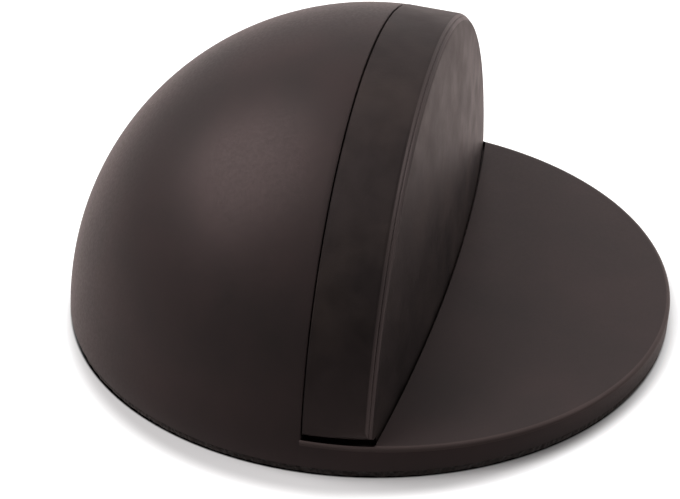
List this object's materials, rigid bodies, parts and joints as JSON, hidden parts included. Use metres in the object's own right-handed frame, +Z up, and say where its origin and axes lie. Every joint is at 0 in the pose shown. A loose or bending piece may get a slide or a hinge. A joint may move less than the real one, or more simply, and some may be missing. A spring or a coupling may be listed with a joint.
{
  "type": "adhesive door bumper",
  "caption": "Half-dome door bumper for a floor: a cast half dome on a round disc, with a crowned rubber buffer across its mouth and an adhesive foam pad beneath.",
  "frame": {"origin": "centre of the foam pad's under side, on the floor", "axes": "+Z up from the floor, -Y towards the door that the rubber buffer stops, +X across the buffer"},
  "size_m": [0.045, 0.045, 0.0218],
  "materials": {
    "lacquered_casting": "satin brown-black lacquer on a zinc die casting",
    "buffer_rubber": "matt black moulded rubber",
    "pad_foam": "dark closed-cell foam with adhesive on both sides"
  },
  "bodies": {
    "root": {"door_stop_casting": "lacquered_casting", "rubber_buffer": "buffer_rubber", "adhesive_foam_pad": "pad_foam"}
  },
  "joints": []
}
